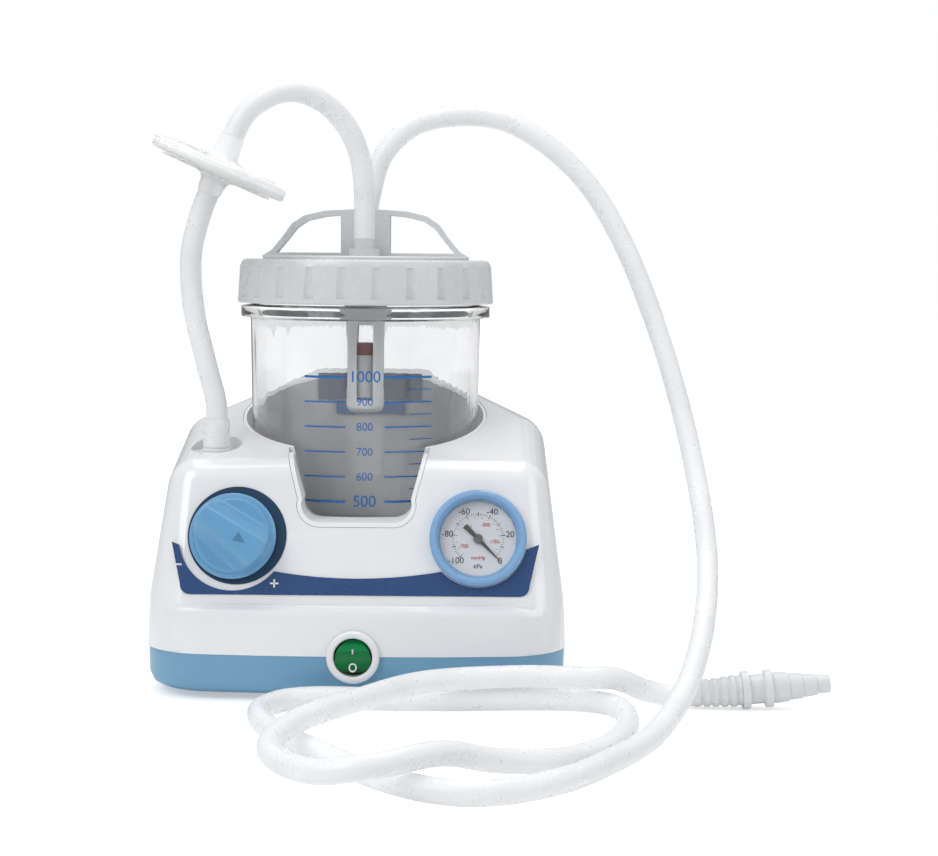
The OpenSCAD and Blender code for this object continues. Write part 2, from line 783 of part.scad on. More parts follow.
module tube_foot() {
    color("white", 0.8) translate([port[0], port[1], port[2]]) rotate_extrude() polygon([
        [3.75, 1.9], [6.3, 1.9], [6.3, 12], [5.8, 15], [0, 15], [0, 12.6], [3.75, 12.6]]);
}

module patient_tube() {
    color("white", 0.6) sweep(smooth(patient_route, 2), tube_d / 2, 10);
}

module along_tip() {
    translate(tip_at) rotate([0, 90 - tip_rise, 0]) children();
}

module tube_cuff() {
    ribs = 5;
    color("white") along_tip() rotate_extrude() polygon(concat(
        [[0, 0], [5.4, 0]],
        [for (i = [0:ribs - 1]) for (p = [[5.9, 1], [5.9, 3], [5.3, 3.6], [5.3, 4.4]])
            [p[0] + i * 0.3, p[1] + i * 4]],
        [[7, 22], [0, 22]]));
}

module cone_connector() {
    steps = 3;
    color("white") along_tip() translate([0, 0, 22]) difference() {
        union() {
            rotate_extrude() polygon(concat(
                [[0, 0], [8.4, 0], [8.4, 3.2], [6.6, 3.8], [6.6, 9.6], [8.4, 10.4], [8.4, 13.4], [6.8, 14]],
                [for (i = [0:steps - 1]) for (p = [[6.9, 16], [6.5, 21], [5.9, 21.2]])
                    [p[0] - i * 0.85, p[1] + i * 6.2]],
                [[0, 16 + 5.2 + (steps - 1) * 6.2]]));
            cylinder(r = tip_r, h = tip_end - 22);
        }
        translate([0, 0, 3]) cylinder(r = 2.6, h = 60);
    }
}

base_shell();
upper_shell();
jar_well();
front_decal();
feet();
shell_screws();
switch_ring();
switch_body();
rocker();
knob_scale();
regulator_valve();
knob();
gauge_bezel();
gauge_case();
gauge_dial();
gauge_glass();
gauge_movement();
gauge_needle();
inlet_spigot();
mains_inlet();
fuse_drawer();
fuse();
motor_stator();
motor_coil();
motor_brackets();
bearings();
rotor_core();
rotor_shaft();
fan();
eccentric();
connecting_rod();
pump_frame();
cylinder_block();  // cylinder
diaphragm();
valve_plate();
pump_head();
head_screws();
rubber_mounts();
muffler();
hose_regulator();
hose_pump();
jar();
lid_ring();
lid_disc();
lid_seal();
float_cage();
valve_seat();
float_body();
filter_upper();
filter_lower();
filter_membrane();
filter_tube_upper();
filter_tube_lower();
tube_foot();
patient_tube();
tube_cuff();
cone_connector();
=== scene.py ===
"""Looks for a portable suction pump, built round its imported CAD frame. Lengths are in metres."""

import json
import math

import bmesh
import bpy
from mathutils import Matrix, Vector

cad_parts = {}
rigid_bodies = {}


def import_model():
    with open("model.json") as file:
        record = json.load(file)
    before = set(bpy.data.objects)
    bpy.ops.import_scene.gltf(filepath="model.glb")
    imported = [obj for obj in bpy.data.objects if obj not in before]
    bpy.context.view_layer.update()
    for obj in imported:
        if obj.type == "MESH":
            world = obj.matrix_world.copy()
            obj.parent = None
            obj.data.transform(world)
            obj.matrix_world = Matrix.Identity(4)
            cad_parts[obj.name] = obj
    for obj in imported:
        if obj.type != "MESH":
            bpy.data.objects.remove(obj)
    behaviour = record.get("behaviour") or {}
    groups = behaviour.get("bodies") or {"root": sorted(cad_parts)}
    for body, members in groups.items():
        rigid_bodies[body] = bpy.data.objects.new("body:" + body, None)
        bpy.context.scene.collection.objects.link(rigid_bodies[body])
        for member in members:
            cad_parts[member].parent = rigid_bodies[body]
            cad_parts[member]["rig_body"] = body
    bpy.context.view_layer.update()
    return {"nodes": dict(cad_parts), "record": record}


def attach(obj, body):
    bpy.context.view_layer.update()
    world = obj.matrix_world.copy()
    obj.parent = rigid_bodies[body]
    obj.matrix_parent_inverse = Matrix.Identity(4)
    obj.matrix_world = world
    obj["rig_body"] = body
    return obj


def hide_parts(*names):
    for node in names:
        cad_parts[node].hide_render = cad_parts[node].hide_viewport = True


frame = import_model()
NODES = frame["nodes"]
MM = 0.001

# ---- places taken from the frame's own design ----

PANEL_TILT = 16.8
PANEL_AT = Vector((0, -80.7, 73)) * MM
DIAL_X = 56 * MM
HOSE_R = 5 * MM
HOSE_BORE = 3.1 * MM
JAR_R = 56.5 * MM
FILTER_AT = Vector((-66.5, -45, 242)) * MM
FILTER_TILT = math.radians(23.6)
TIP_AT = Vector((153, -102, 6.6)) * MM
TIP_RISE = math.radians(4.9)
SWITCH_AT = Vector((0, -98.8, 21.3)) * MM
ROCKER_REST = math.radians(7)
FLOAT_DISC_Z = 153.1 * MM
ROCKER_HOLLOW = 15.4 * MM
ROCKER_SWEEP = 9 * MM

# ---- sizes that only the looks need ----

LENS = 76.76
CAMERA_AT = Vector((0.0514, -0.988, 0.200))
CAMERA_TIP = math.radians(85.2)
CAMERA_ROLL = math.radians(0.5)
KNOB_LEAN = math.radians(-36)
KNOB_FACE = 14 * MM
KNOB_FACE_R = 16 * MM
KNOB_ROUND = 1.5 * MM
KNOB_UNDER = 1.2 * MM
SCOOP_DEPTH = 9 * MM
SCOOP_RUN = 8.5 * MM
PRINT_RISE = 0.12 * MM
FLOOR_SIZE = 6.0
GLOW_STARTS = 0.20
GLOW_IS_FULL = 1.0
FLOOR_LIGHT = 0.22
SEEN_THROUGH = 0.72


def panel_place(x, up=0.0, out=0.0):
    """Matrix whose local Z points out of the sloping front panel."""
    turn = Matrix.Rotation(math.radians(90 - PANEL_TILT), 4, "X")
    return Matrix.Translation((x, PANEL_AT.y, PANEL_AT.z)) @ turn @ Matrix.Translation((0, up, out))


def filter_place():
    return Matrix.Translation(FILTER_AT) @ Matrix.Rotation(FILTER_TILT, 4, "Y")


def tip_place(along=0.0):
    turn = Matrix.Rotation(math.pi / 2 - TIP_RISE, 4, "Y")
    return Matrix.Translation(TIP_AT) @ turn @ Matrix.Translation((0, 0, along))


# ---- camera ----


def make_camera():
    data = bpy.data.cameras.new("studio_camera")
    data.sensor_width = 36
    data.lens = LENS
    data.clip_start = 0.05
    camera = bpy.data.objects.new("studio_camera", data)
    bpy.context.scene.collection.objects.link(camera)
    look = Matrix.Rotation(CAMERA_TIP, 4, "X")
    roll = Matrix.Rotation(CAMERA_ROLL, 4, "Z")
    camera.matrix_world = Matrix.Translation(CAMERA_AT) @ look @ roll
    bpy.context.scene.camera = camera


# ---- mesh helpers ----


def piece(name, mesh, body, material):
    """A finished piece that rides on a body and takes the given material."""
    shown = bpy.data.objects.new(name, mesh)
    bpy.context.scene.collection.objects.link(shown)
    mesh.materials.clear()
    mesh.materials.append(material)
    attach(shown, body)
    return shown


def mesh_from(name, work):
    mesh = bpy.data.meshes.new(name)
    work.to_mesh(mesh)
    work.free()
    return mesh


def soften(work, sharp_from=32):
    """Smooth faces, with creases kept where the surface really turns."""
    limit = math.radians(sharp_from)
    for face in work.faces:
        face.smooth = True
    for edge in work.edges:
        edge.smooth = len(edge.link_faces) != 2 or edge.calc_face_angle(0) < limit


def lathe(profile, place, turns=96, closed=True):
    """Turns an outline of (radius, height) round local Z."""
    work = bmesh.new()
    rings = []
    for radius, height in profile:
        if radius < 1e-7:
            rings.append([work.verts.new((0, 0, height))] * turns)
            continue
        rings.append([
            work.verts.new((radius * math.cos(a), radius * math.sin(a), height))
            for a in (2 * math.pi * k / turns for k in range(turns))])
    spans = list(zip(rings, rings[1:]))
    if closed:
        spans.append((rings[-1], rings[0]))
    for low, high in spans:
        for k in range(turns):
            n = (k + 1) % turns
            corners = list(dict.fromkeys((low[k], low[n], high[n], high[k])))
            if len(corners) > 2:
                work.faces.new(corners)
    bmesh.ops.recalc_face_normals(work, faces=work.faces)
    soften(work)
    work.transform(place)
    return work


def merged_copy(node, bevel=0.0, sharp_from=32, steps=2):
    """The node's own shape as one joined mesh, with its hard edges slightly rounded."""
    work = bmesh.new()
    work.from_mesh(NODES[node].data)
    bmesh.ops.remove_doubles(work, verts=work.verts, dist=0.00002)
    flat = math.radians(0.6)
    bmesh.ops.dissolve_limit(work, angle_limit=flat, verts=work.verts, edges=work.edges)
    if bevel:
        hard = [e for e in work.edges
                if len(e.link_faces) == 2 and e.calc_face_angle(0) > math.radians(sharp_from)]
        bmesh.ops.bevel(work, geom=hard, offset=bevel, segments=steps, profile=0.5,
                        affect="EDGES", clamp_overlap=True)
    soften(work, sharp_from)
    return work


def dressed(node, name, material, bevel=0.0, sharp_from=32, steps=2):
    """A rounded, smooth piece that stands for one CAD node."""
    body = NODES[node]["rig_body"]
    mesh = mesh_from(name, merged_copy(node, bevel, sharp_from, steps))
    mesh.shade_smooth()
    shown = piece(name, mesh, body, material)
    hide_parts(node)
    even = shown.modifiers.new("even_shading", "WEIGHTED_NORMAL")
    even.keep_sharp = True
    return shown


def slot_of(node):
    return next(p["material_slot"] for p in frame["record"]["subparts"] if p["node"] == node)


# ---- hoses ----


def spline(points, steps):
    """The smooth line through a route's points, as in the part's own source."""
    pts = [Vector(p) * MM for p in points]
    line = []
    for i in range(len(pts) - 1):
        before = pts[max(0, i - 1)]
        after = pts[min(len(pts) - 1, i + 2)]
        for j in range(steps):
            t = j / steps
            bend = 2 * before - 5 * pts[i] + 4 * pts[i + 1] - after
            twist = 3 * pts[i] - before - 3 * pts[i + 1] + after
            line.append(0.5 * (2 * pts[i] + (pts[i + 1] - before) * t + bend * t * t + twist * t ** 3))
    return line + [pts[-1]]


def tube_mesh(name, line, outer, inner, sides=28):
    """Hollow tube along a line, with flat cut ends."""
    work = bmesh.new()
    normal = None
    rings = []
    for i, point in enumerate(line):
        heading = (line[min(i + 1, len(line) - 1)] - line[max(i - 1, 0)]).normalized()
        if normal is None:
            normal = heading.orthogonal()
        normal = (normal - heading * normal.dot(heading)).normalized()
        across = heading.cross(normal)
        for radius in (outer, inner):
            rings.append([
                work.verts.new(point + radius * (math.cos(a) * normal + math.sin(a) * across))
                for a in (2 * math.pi * k / sides for k in range(sides))])
    walls = [(rings[i], rings[i + 2]) for i in range(len(rings) - 2)]
    walls += [(rings[0], rings[1]), (rings[-2], rings[-1])]
    for low, high in walls:
        for k in range(sides):
            n = (k + 1) % sides
            work.faces.new((low[k], low[n], high[n], high[k]))
    bmesh.ops.recalc_face_normals(work, faces=work.faces)
    soften(work, 60)
    return mesh_from(name, work)


UPPER_ROUTE = [
    (0, -16, 210), (0, -16, 219), (0, -16, 228), (-0.5, -17, 238), (-2, -18, 248),
    (-5, -20, 257), (-10, -23, 265.5), (-17, -27, 272.5), (-25, -31, 277),
    (-33, -35, 278.5), (-41, -38.5, 277), (-48, -41.5, 273), (-53.5, -43.5, 268.3),
    (-57.2, -44.7, 262.8), (-60.1, -45, 256.7)]

LOWER_ROUTE = [
    (-71.7, -45, 230.1), (-74.5, -45, 223), (-77, -45, 215), (-79, -45, 207), (-80, -45, 199),
    (-80, -45, 191), (-79.5, -45, 183), (-78.5, -45, 175), (-77, -45, 167), (-75, -45, 159),
    (-73, -45, 151), (-71, -45, 143), (-69, -45, 136), (-68, -45, 130), (-68, -45, 124.1)]

PATIENT_ROUTE = [
    (0, 16, 210), (1, 16, 230), (9, 17, 254), (30, 22, 269.5), (68, 24.5, 269.5),
    (103, 21, 246), (127, 14, 210), (147, 1, 158), (160, -24, 104), (163, -66, 58),
    (152, -122, 26), (131, -180, 9), (105, -225, 5.3), (80, -257, 5.3),
    (52, -269, 5.3), (23, -252, 5.3), (-9, -207, 5.3), (-33, -163, 5.3), (-37, -131, 5.3),
    (-19, -111, 5.3), (30, -113.5, 5.3), (88, -109.5, 5.3), (115, -120, 5.3),
    (120, -152, 5.3), (111, -191, 5.4), (91, -219, 5.8), (64, -235, 9), (42, -254, 16.4),
    (19, -269, 15.4), (-6, -263, 11.5), (-24, -236, 12.6), (-17, -205, 16.2), (5, -165, 16.2),
    (33, -127, 16.2), (74, -114, 16.3), (102, -119.5, 17), (117, -115.5, 16),
    (131, -105.2, 8.8), (142, -102.2, 6.1), (152.3, -102, 6.6)]


def lay_hose(name, route, node, material):
    line = spline(route, 8)
    mesh = tube_mesh(name, line, HOSE_R, HOSE_BORE)
    hose = piece(name, mesh, "jar", material)
    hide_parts(node)
    return hose


# ---- shader groups ----


def new_group(name, inputs, outputs):
    group = bpy.data.node_groups.new(name, "ShaderNodeTree")
    for label, kind, value in inputs:
        socket = group.interface.new_socket(label, in_out="INPUT", socket_type=kind)
        socket.default_value = value
    for label, kind in outputs:
        group.interface.new_socket(label, in_out="OUTPUT", socket_type=kind)
    return group, group.nodes.new("NodeGroupInput"), group.nodes.new("NodeGroupOutput")


def noise(tree, source, scale_from, detail=4.0, rough=0.55):
    node = tree.nodes.new("ShaderNodeTexNoise")
    node.inputs["Detail"].default_value = detail
    node.inputs["Roughness"].default_value = rough
    tree.links.new(source, node.inputs["Vector"])
    if isinstance(scale_from, (int, float)):
        node.inputs["Scale"].default_value = scale_from
    else:
        tree.links.new(scale_from, node.inputs["Scale"])
    return node.outputs["Fac"]


def maths(tree, operation, *values):
    node = tree.nodes.new("ShaderNodeMath")
    node.operation = operation
    for socket, value in zip(node.inputs, values):
        if isinstance(value, (int, float)):
            socket.default_value = value
        else:
            tree.links.new(value, socket)
    return node.outputs[0]


def spread(tree, value, low, high, out_low=0.0, out_high=1.0):
    node = tree.nodes.new("ShaderNodeMapRange")
    tree.links.new(value, node.inputs["Value"])
    node.inputs["From Min"].default_value = low
    node.inputs["From Max"].default_value = high
    node.inputs["To Min"].default_value = out_low
    node.inputs["To Max"].default_value = out_high
    return node.outputs["Result"]


def build_moulding_group():
    """Slow mottling, fine spark-eroded grain and faint handling marks on a moulded plastic."""
    inputs = [("Grain Scale", "NodeSocketFloat", 2200.0), ("Mottle Scale", "NodeSocketFloat", 18.0)]
    outputs = [("Mottle", "NodeSocketFloat"), ("Marks", "NodeSocketFloat"), ("Grain", "NodeSocketFloat")]
    tree, inside, outside = new_group("moulded_surface", inputs, outputs)
    where = tree.nodes.new("ShaderNodeTexCoord").outputs["Object"]
    mottle = noise(tree, where, inside.outputs["Mottle Scale"], 3.0)
    grain = noise(tree, where, inside.outputs["Grain Scale"], 2.0)
    rubbed = noise(tree, where, 75.0, 6.0, 0.7)
    tree.links.new(spread(tree, mottle, 0.3, 0.7), outside.inputs["Mottle"])
    tree.links.new(spread(tree, rubbed, 0.52, 0.78), outside.inputs["Marks"])
    tree.links.new(grain, outside.inputs["Grain"])
    return tree


def build_edge_group():
    """Mask of worn outer edges, broken up by noise."""
    inputs = [("Reach", "NodeSocketFloat", 0.06)]
    tree, inside, outside = new_group("worn_edges", inputs, [("Mask", "NodeSocketFloat")])
    bend = tree.nodes.new("ShaderNodeNewGeometry").outputs["Pointiness"]
    where = tree.nodes.new("ShaderNodeTexCoord").outputs["Object"]
    broken = noise(tree, where, 240.0, 5.0, 0.65)
    raised = maths(tree, "SUBTRACT", bend, 0.5)
    ratio = maths(tree, "DIVIDE", raised, inside.outputs["Reach"])
    held = tree.nodes.new("ShaderNodeClamp")
    tree.links.new(maths(tree, "MULTIPLY", ratio, broken), held.inputs["Value"])
    tree.links.new(held.outputs[0], outside.inputs["Mask"])
    return tree


def build_dust_group():
    """Thin dust that settles on faces that look up."""
    inputs = [("Amount", "NodeSocketFloat", 0.2)]
    tree, inside, outside = new_group("settled_dust", inputs, [("Mask", "NodeSocketFloat")])
    facing = tree.nodes.new("ShaderNodeNewGeometry").outputs["Normal"]
    split = tree.nodes.new("ShaderNodeSeparateXYZ")
    tree.links.new(facing, split.inputs[0])
    where = tree.nodes.new("ShaderNodeTexCoord").outputs["Object"]
    specks = spread(tree, noise(tree, where, 420.0, 6.0, 0.7), 0.45, 0.75)
    upward = spread(tree, split.outputs["Z"], 0.35, 1.0)
    mask = maths(tree, "MULTIPLY", maths(tree, "MULTIPLY", upward, specks), inside.outputs["Amount"])
    tree.links.new(mask, outside.inputs["Mask"])
    return tree


MOULDED = build_moulding_group()
WORN = build_edge_group()
DUST = build_dust_group()


def use_group(tree, group, **values):
    node = tree.nodes.new("ShaderNodeGroup")
    node.node_tree = group
    for label, value in values.items():
        node.inputs[label.replace("_", " ")].default_value = value
    return node


def blend_colour(tree, mask, first, second):
    node = tree.nodes.new("ShaderNodeMix")
    node.data_type = "RGBA"
    tree.links.new(mask, node.inputs["Factor"])
    for socket, value in ((node.inputs[6], first), (node.inputs[7], second)):
        if isinstance(value, tuple):
            socket.default_value = (*value, 1.0)
        else:
            tree.links.new(value, socket)
    return node.outputs[2]


def raise_bump(tree, shader, height, strength, depth):
    bump = tree.nodes.new("ShaderNodeBump")
    bump.inputs["Strength"].default_value = strength
    bump.inputs["Distance"].default_value = depth
    tree.links.new(height, bump.inputs["Height"])
    tree.links.new(bump.outputs["Normal"], shader.inputs["Normal"])


def new_material(name):
    material = bpy.data.materials.new(name)
    material.use_nodes = True
    tree = material.node_tree
    return material, tree, tree.nodes["Principled BSDF"]


def moulded(name, colour, shade, rough, grain=0.25, depth=0.00004, wear=0.12, dust=0.06,
            coat=0.0, mottle=18.0, grain_scale=2200.0):
    """Moulded plastic: colour drifts a little, the gloss varies, edges rub paler."""
    material, tree, shader = new_material(name)
    skin = use_group(tree, MOULDED, Grain_Scale=grain_scale, Mottle_Scale=mottle)
    edge = use_group(tree, WORN, Reach=0.09)
    specks = use_group(tree, DUST, Amount=dust)
    base = blend_colour(tree, skin.outputs["Mottle"], colour, shade)
    pale = tuple(min(1.0, c * 0.7 + 0.3) for c in colour)
    worn = blend_colour(tree, maths(tree, "MULTIPLY", edge.outputs[0], wear * 4), base, pale)
    dusty = blend_colour(tree, specks.outputs[0], worn, (0.62, 0.61, 0.59))
    tree.links.new(dusty, shader.inputs["Base Color"])
    marks = spread(tree, skin.outputs["Marks"], 0, 1, rough * 0.88, min(1.0, rough * 1.35 + 0.03))
    tree.links.new(marks, shader.inputs["Roughness"])
    shader.inputs["Coat Weight"].default_value = coat
    shader.inputs["Coat Roughness"].default_value = 0.06
    raise_bump(tree, shader, skin.outputs["Grain"], grain, depth)
    return material


def cover_white():
    return moulded("cover_white", (0.83, 0.845, 0.865), (0.80, 0.815, 0.84), 0.20, 0.10, coat=0.5)


def base_blue():
    return moulded("base_blue", (0.150, 0.345, 0.530), (0.138, 0.325, 0.505), 0.34, 0.3)


def well_grey():
    return moulded("well_grey", (0.87, 0.875, 0.89), (0.83, 0.835, 0.85), 0.42, 0.35)


def decal_navy():
    return moulded("decal_navy", (0.024, 0.072, 0.20), (0.022, 0.067, 0.19), 0.30, 0.08, wear=0.0, dust=0.0)


def crescent_teal():
    return moulded("crescent_teal", (0.004, 0.042, 0.105), (0.004, 0.036, 0.09), 0.34, 0.12, wear=0.0)


def foot_rubber():
    return moulded("foot_rubber", (0.035, 0.035, 0.04), (0.05, 0.05, 0.055), 0.75, 0.6, 0.0001)


def ring_white():
    return moulded("ring_white", (0.80, 0.815, 0.83), (0.77, 0.785, 0.80), 0.16, 0.08, coat=0.4)


def black_plastic():
    return moulded("black_plastic", (0.012, 0.012, 0.013), (0.02, 0.02, 0.021), 0.45, 0.45)


def knob_blue():
    return moulded("knob_blue", (0.135, 0.36, 0.60), (0.12, 0.33, 0.57), 0.33, 0.28, wear=0.10)


def bezel_blue():
    return moulded("bezel_blue", (0.20, 0.39, 0.66), (0.185, 0.37, 0.63), 0.26, 0.15)


def lid_grey():
    return moulded("lid_grey", (0.66, 0.68, 0.69), (0.635, 0.655, 0.67), 0.30, 0.15, wear=0.03)


def float_grey():
    return moulded("float_grey", (0.46, 0.47, 0.48), (0.42, 0.43, 0.445), 0.45, 0.3)


def seal_white():
    return moulded("seal_white", (0.78, 0.78, 0.77), (0.73, 0.73, 0.72), 0.6, 0.4)


def valve_red():
    return moulded("valve_red", (0.19, 0.008, 0.006), (0.14, 0.006, 0.005), 0.5, 0.4)


def diaphragm_rubber():
    return moulded("diaphragm_rubber", (0.02, 0.02, 0.02), (0.035, 0.035, 0.035), 0.7, 0.6, 0.0001)


def connector_white():
    return moulded("connector_white", (0.70, 0.715, 0.725), (0.64, 0.66, 0.675), 0.42, 0.35, 0.00006)


def dial_white():
    return moulded("dial_white", (0.66, 0.68, 0.70), (0.62, 0.64, 0.665), 0.5, 0.15, wear=0.0)


def needle_black():
    return moulded("needle_black", (0.008, 0.008, 0.008), (0.014, 0.014, 0.014), 0.38, 0.2)


def print_ink(name, colour):
    return moulded(name, colour, tuple(c * 0.85 for c in colour), 0.45, 0.2, wear=0.0, dust=0.0)


def metal(name, colour, rough, grain=(30.0, 900.0, 900.0), lines=0.35):
    """Worked metal: long scratches along one way, and a slow change of gloss."""
    material, tree, shader = new_material(name)
    where = tree.nodes.new("ShaderNodeTexCoord").outputs["Object"]
    drawn = tree.nodes.new("ShaderNodeMapping")
    drawn.inputs["Scale"].default_value = grain
    tree.links.new(where, drawn.inputs["Vector"])
    scratch = noise(tree, drawn.outputs[0], 1.0, 5.0, 0.6)
    blend_mask = noise(tree, where, 60.0, 4.0)
    dull = tuple(c * 0.78 for c in colour)
    tree.links.new(blend_colour(tree, spread(tree, blend_mask, 0.35, 0.65), colour, dull),
                   shader.inputs["Base Color"])
    shader.inputs["Metallic"].default_value = 1.0
    tree.links.new(spread(tree, scratch, 0.3, 0.7, rough * 0.7, rough * 1.35), shader.inputs["Roughness"])
    raise_bump(tree, shader, scratch, lines, 0.00005)
    return material


def copper_wire():
    """Wound enamelled wire: close turns across the coil, with painted shade between the turns and painted
    sheen on them.
    """
    material, tree, shader = new_material("copper_wire")
    where = tree.nodes.new("ShaderNodeTexCoord").outputs["Object"]
    turns = tree.nodes.new("ShaderNodeTexWave")
    turns.bands_direction = "X"
    turns.inputs["Scale"].default_value = 320.0
    turns.inputs["Distortion"].default_value = 0.6
    tree.links.new(where, turns.inputs["Vector"])
    # painted shade and sheen: the copper is dark in the bands between turns and bright on them
    tree.links.new(blend_colour(tree, turns.outputs["Fac"], (0.22, 0.07, 0.02), (0.62, 0.27, 0.10)),
                   shader.inputs["Base Color"])
    shader.inputs["Metallic"].default_value = 0.85
    tree.links.new(spread(tree, noise(tree, where, 90.0), 0.3, 0.7, 0.25, 0.45), shader.inputs["Roughness"])
    raise_bump(tree, shader, turns.outputs["Fac"], 0.8, 0.0003)
    return material


def clear(name, tint, rough, index, weight=1.0, ripple=0.06, shadow=0.85, depth=0.0003):
    """Clear or milky plastic that lets most light through to what is behind and under it."""
    material, tree, shader = new_material(name)
    where = tree.nodes.new("ShaderNodeTexCoord").outputs["Object"]
    flow = noise(tree, where, 28.0, 3.0)
    hazy = tuple(c * 0.94 for c in tint)
    tree.links.new(blend_colour(tree, spread(tree, flow, 0.35, 0.65), tint, hazy),
                   shader.inputs["Base Color"])
    smear = noise(tree, where, 90.0, 4.0, 0.6)
    tree.links.new(spread(tree, smear, 0.35, 0.75, rough, rough * 1.3 + 0.01), shader.inputs["Roughness"])
    shader.inputs["Transmission Weight"].default_value = weight
    shader.inputs["IOR"].default_value = index
    raise_bump(tree, shader, flow, ripple, depth)
    through = tree.nodes.new("ShaderNodeBsdfTransparent")
    either = tree.nodes.new("ShaderNodeMixShader")
    light = tree.nodes.new("ShaderNodeLightPath")
    share = maths(tree, "MULTIPLY", light.outputs["Is Shadow Ray"], shadow)
    tree.links.new(share, either.inputs[0])
    tree.links.new(shader.outputs[0], either.inputs[1])
    tree.links.new(through.outputs[0], either.inputs[2])
    tree.links.new(either.outputs[0], tree.nodes["Material Output"].inputs["Surface"])
    return material


def rocker_green():
    """Translucent green rocker with painted light: its colour brightens towards its upper edge, broken by
    noise.
    """
    material, tree, shader = new_material("rocker_green")
    where = tree.nodes.new("ShaderNodeTexCoord").outputs["Object"]
    split = tree.nodes.new("ShaderNodeSeparateXYZ")
    tree.links.new(where, split.inputs[0])
    # painted highlight: the green runs from dark low down to bright at the upper edge
    low = SWITCH_AT.z - 8 * MM
    rise = spread(tree, split.outputs["Z"], low, low + 16 * MM)
    blend_mask = maths(tree, "MULTIPLY", rise, spread(tree, noise(tree, where, 260.0), 0.2, 0.8, 0.7, 1.1))
    tree.links.new(blend_colour(tree, blend_mask, (0.0, 0.12, 0.03), (0.0, 0.33, 0.085)),
                   shader.inputs["Base Color"])
    tree.links.new(spread(tree, noise(tree, where, 500.0), 0.3, 0.7, 0.1, 0.2), shader.inputs["Roughness"])
    shader.inputs["Transmission Weight"].default_value = 0.2
    shader.inputs["Coat Weight"].default_value = 0.1
    shader.inputs["Specular IOR Level"].default_value = 0.2
    raise_bump(tree, shader, noise(tree, where, 300.0), 0.08, 0.0002)
    return material


def filter_paper():
    """Pleated membrane: fine folds across a fibrous sheet, with painted shade and light that follow the
    folds.
    """
    material, tree, shader = new_material("filter_paper")
    where = tree.nodes.new("ShaderNodeTexCoord").outputs["Object"]
    folds = tree.nodes.new("ShaderNodeTexWave")
    folds.bands_direction = "Y"
    folds.inputs["Scale"].default_value = 110.0
    tree.links.new(where, folds.inputs["Vector"])
    fibre = noise(tree, where, 1400.0, 6.0, 0.75)
    # painted shade: the colour runs darker and lighter with each fold, as light and shade on the pleats
    tree.links.new(blend_colour(tree, folds.outputs["Fac"], (0.70, 0.71, 0.72), (0.86, 0.87, 0.88)),
                   shader.inputs["Base Color"])
    tree.links.new(spread(tree, fibre, 0.3, 0.7, 0.75, 0.95), shader.inputs["Roughness"])
    raise_bump(tree, shader, maths(tree, "ADD", folds.outputs["Fac"], fibre), 0.6, 0.0003)
    return material


FINISH = {
    "cover_white": cover_white(), "base_blue": base_blue(), "well_grey": well_grey(),
    "decal_navy": decal_navy(), "foot_rubber": foot_rubber(),
    "screw_steel": metal("screw_steel", (0.60, 0.60, 0.61), 0.28),
    "ring_white": ring_white(), "black_plastic": black_plastic(), "rocker_green": rocker_green(),
    "brass": metal("brass", (0.72, 0.50, 0.20), 0.26), "knob_blue": knob_blue(),
    "bezel_blue": bezel_blue(), "steel": metal("steel", (0.50, 0.51, 0.52), 0.36),
    "dial_white": dial_white(),
    "clear_window": clear("clear_window", (0.98, 0.99, 1.0), 0.01, 1.49, ripple=0.02),
    "needle_black": needle_black(), "copper_wire": copper_wire(),
    "aluminium": metal("aluminium", (0.74, 0.75, 0.76), 0.40, (500.0, 500.0, 500.0)),
    "diaphragm_rubber": diaphragm_rubber(),
    "silicone": clear("silicone", (0.93, 0.94, 0.95), 0.26, 1.34, weight=0.22, ripple=0.02),
    "jar_clear": clear("jar_clear", (0.965, 0.97, 0.976), 0.012, 1.49, ripple=0.006, shadow=0.95),
    "lid_grey": lid_grey(), "seal_white": seal_white(), "valve_red": valve_red(),
    "float_grey": float_grey(),
    "filter_clear": clear("filter_clear", (0.97, 0.975, 0.98), 0.30, 1.20, weight=0.50, ripple=0.02),
    "filter_paper": filter_paper(), "connector_white": connector_white(),
}
INK_BLUE = print_ink("ink_blue", (0.010, 0.155, 0.47))
INK_BLACK = print_ink("ink_black", (0.012, 0.012, 0.014))
INK_RED = print_ink("ink_red", (0.56, 0.02, 0.02))
INK_WHITE = print_ink("ink_white", (0.82, 0.84, 0.86))


# ---- what repeats: two node trees ----


def new_tree(name, inputs):
    tree = bpy.data.node_groups.new(name, "GeometryNodeTree")
    tree.interface.new_socket("Geometry", in_out="INPUT", socket_type="NodeSocketGeometry")
    for label, kind in inputs:
        tree.interface.new_socket(label, in_out="INPUT", socket_type=kind)
    tree.interface.new_socket("Geometry", in_out="OUTPUT", socket_type="NodeSocketGeometry")
    return tree, tree.nodes.new("NodeGroupInput"), tree.nodes.new("NodeGroupOutput")


def close_tree(tree, inside, outside, instances):
    """Makes the copies real and gives them their finish."""
    real = tree.nodes.new("GeometryNodeRealizeInstances")
    paint = tree.nodes.new("GeometryNodeSetMaterial")
    tree.links.new(instances, real.inputs[0])
    tree.links.new(real.outputs[0], paint.inputs["Geometry"])
    tree.links.new(inside.outputs["Finish"], paint.inputs["Material"])
    tree.links.new(paint.outputs[0], outside.inputs[0])


